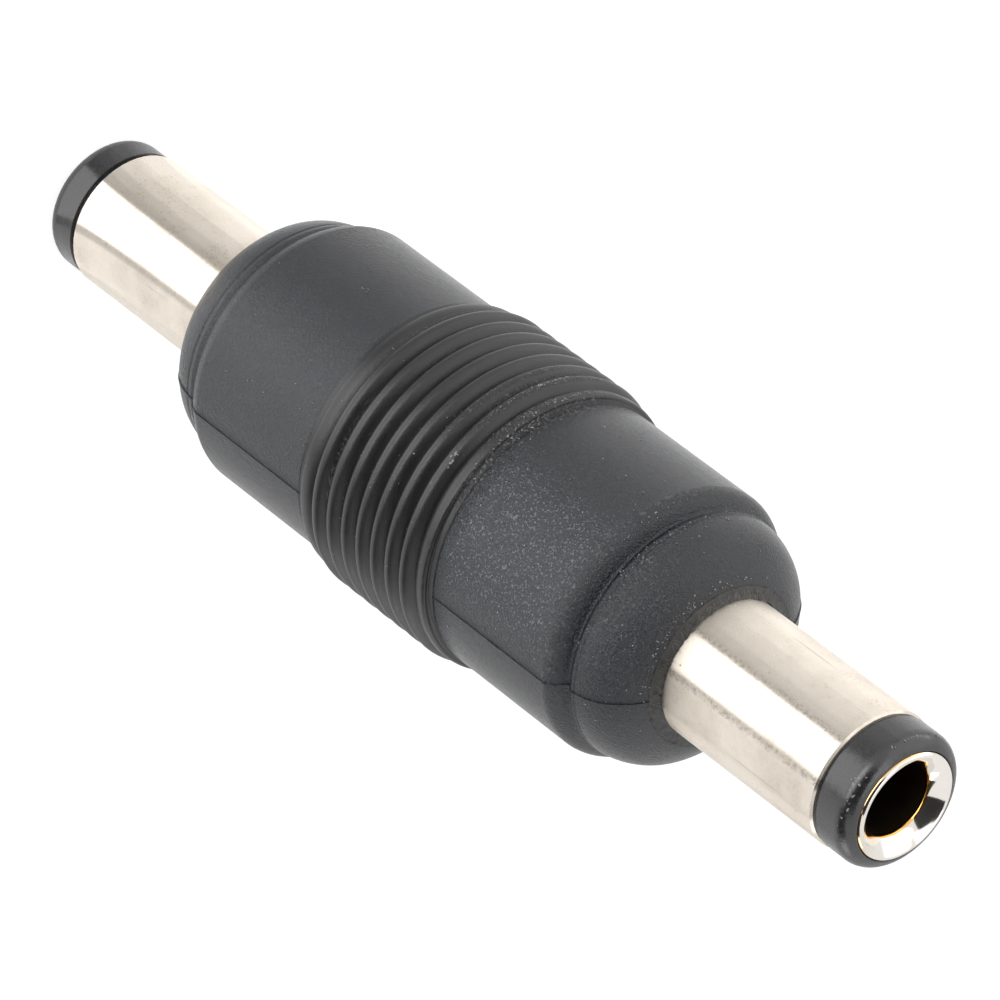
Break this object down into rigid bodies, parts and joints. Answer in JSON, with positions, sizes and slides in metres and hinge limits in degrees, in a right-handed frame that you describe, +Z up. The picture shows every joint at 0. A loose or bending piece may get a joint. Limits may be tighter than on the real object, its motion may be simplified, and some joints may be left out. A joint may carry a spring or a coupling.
{
  "type": "dc barrel adapter",
  "caption": "Straight coupler with a coaxial DC power plug at each end of a black moulded body with a ribbed grip.",
  "frame": {"origin": "bottom centre of the part's box, on the surface that the back tip stands on", "axes": "+Z up along the common axis towards the front plug, -X towards the centre contacts' solder tabs"},
  "size_m": [0.0116, 0.0116, 0.0461],
  "materials": {
    "grip_plastic": "fine spark-eroded texture on the smooth sections, satin on the ribs",
    "core_plastic": "natural, unpainted",
    "tip_plastic": "satin black",
    "plated_sleeve": "bright nickel plate",
    "plated_socket": "bright nickel plate, polished mouth",
    "spring_bronze": "bare spring bronze",
    "tinned_lug": "tin plate",
    "tinned_copper": "tinned copper",
    "solder": "solder, satin",
    "washer_board": "pressed board",
    "red_insulation": "smooth",
    "black_insulation": "smooth"
  },
  "bodies": {
    "root": {"front_sleeve": "plated_sleeve", "front_tip_insulator": "tip_plastic", "front_socket": "plated_socket", "front_contact_spring": "spring_bronze", "front_rear_washer": "washer_board", "front_centre_lug": "tinned_lug", "front_sleeve_lug": "tinned_lug", "front_centre_solder": "solder", "front_sleeve_solder": "solder", "back_sleeve": "plated_sleeve", "back_tip_insulator": "tip_plastic", "back_socket": "plated_socket", "back_contact_spring": "spring_bronze", "back_rear_washer": "washer_board", "back_centre_lug": "tinned_lug", "back_sleeve_lug": "tinned_lug", "back_centre_solder": "solder", "back_sleeve_solder": "solder", "centre_link_wire": "tinned_copper", "sleeve_link_wire": "tinned_copper", "centre_wire_insulation": "red_insulation", "sleeve_wire_insulation": "black_insulation", "inner_mould": "core_plastic", "grip_overmould": "grip_plastic"}
  },
  "joints": []
}
